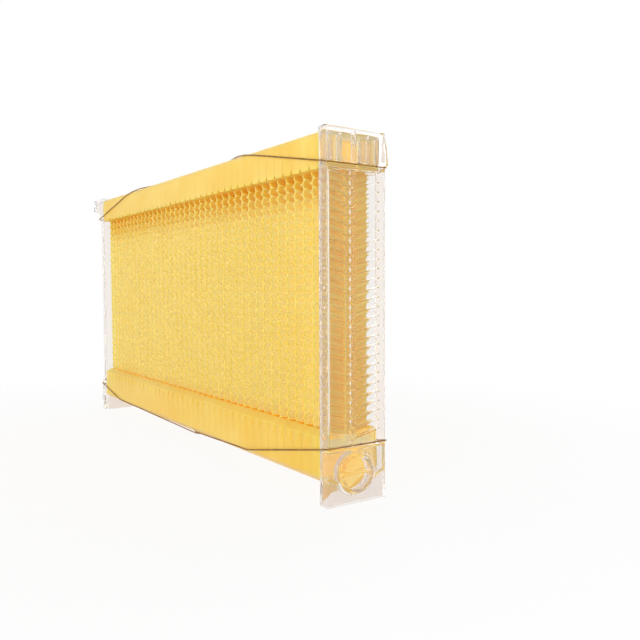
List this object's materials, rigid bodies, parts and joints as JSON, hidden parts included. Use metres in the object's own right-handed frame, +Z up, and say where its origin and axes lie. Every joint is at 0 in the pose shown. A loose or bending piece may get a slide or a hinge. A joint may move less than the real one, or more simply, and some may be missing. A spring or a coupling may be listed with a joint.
{
  "type": "self-draining honeycomb frame",
  "caption": "Honeycomb frame of yellow plastic comb between clear end plates: comb leaves slide up to drain the cells into a trough, with a pull-off key cap and an outlet plug.",
  "frame": {"origin": "middle of the box around the part, on the plane its two feet stand on", "axes": "+X along the frame towards the outlet and key cap, +Y across it, +Z up"},
  "size_m": [0.4686, 0.0482, 0.2364],
  "materials": {
    "comb_plastic": "satin",
    "clear_plastic": "clear",
    "steel_wire": "drawn wire"
  },
  "bodies": {
    "frame": {"fixed_segments_01": "comb_plastic", "fixed_segments_02": "comb_plastic", "fixed_segments_03": "comb_plastic", "fixed_segments_04": "comb_plastic", "fixed_segments_05": "comb_plastic", "fixed_segments_06": "comb_plastic", "fixed_segments_07": "comb_plastic", "fixed_segments_08": "comb_plastic", "fixed_segments_09": "comb_plastic", "fixed_segments_10": "comb_plastic", "front_end_plate": "clear_plastic", "rear_end_plate": "clear_plastic", "front_window_panel": "clear_plastic", "rear_window_panel": "clear_plastic", "upper_wire": "steel_wire", "lower_wire": "steel_wire", "upper_wire_ferrule": "steel_wire", "lower_wire_ferrule": "steel_wire"},
    "comb_section_1": {"comb_leaves_01": "comb_plastic", "comb_leaves_02": "comb_plastic", "leaf_heads_01": "comb_plastic", "leaf_heads_02": "comb_plastic"},
    "comb_section_2": {"comb_leaves_03": "comb_plastic", "comb_leaves_04": "comb_plastic", "leaf_heads_03": "comb_plastic", "leaf_heads_04": "comb_plastic"},
    "comb_section_3": {"comb_leaves_05": "comb_plastic", "comb_leaves_06": "comb_plastic", "leaf_heads_05": "comb_plastic", "leaf_heads_06": "comb_plastic"},
    "comb_section_4": {"comb_leaves_07": "comb_plastic", "comb_leaves_08": "comb_plastic", "leaf_heads_07": "comb_plastic", "leaf_heads_08": "comb_plastic"},
    "comb_section_5": {"comb_leaves_09": "comb_plastic", "comb_leaves_10": "comb_plastic", "leaf_heads_09": "comb_plastic", "leaf_heads_10": "comb_plastic"},
    "key_cap": {"key_access_cap": "clear_plastic"},
    "plug": {"outlet_plug": "clear_plastic"}
  },
  "joints": [
    {"name": "section_1_lift", "type": "slide", "parent": "frame", "child": "comb_section_1", "axis": [0, 0, 1], "range_m": [0, 0.00306]},
    {"name": "section_2_lift", "type": "slide", "parent": "frame", "child": "comb_section_2", "axis": [0, 0, 1], "range_m": [0, 0.00306]},
    {"name": "section_3_lift", "type": "slide", "parent": "frame", "child": "comb_section_3", "axis": [0, 0, 1], "range_m": [0, 0.00306]},
    {"name": "section_4_lift", "type": "slide", "parent": "frame", "child": "comb_section_4", "axis": [0, 0, 1], "range_m": [0, 0.00306]},
    {"name": "section_5_lift", "type": "slide", "parent": "frame", "child": "comb_section_5", "axis": [0, 0, 1], "range_m": [0, 0.00306]},
    {"name": "key_cap_pull", "type": "slide", "parent": "frame", "child": "key_cap", "axis": [1, 0, 0], "range_m": [0, 0.025]},
    {"name": "plug_pull", "type": "slide", "parent": "frame", "child": "plug", "axis": [1, 0, 0], "range_m": [0, 0.015]}
  ]
}
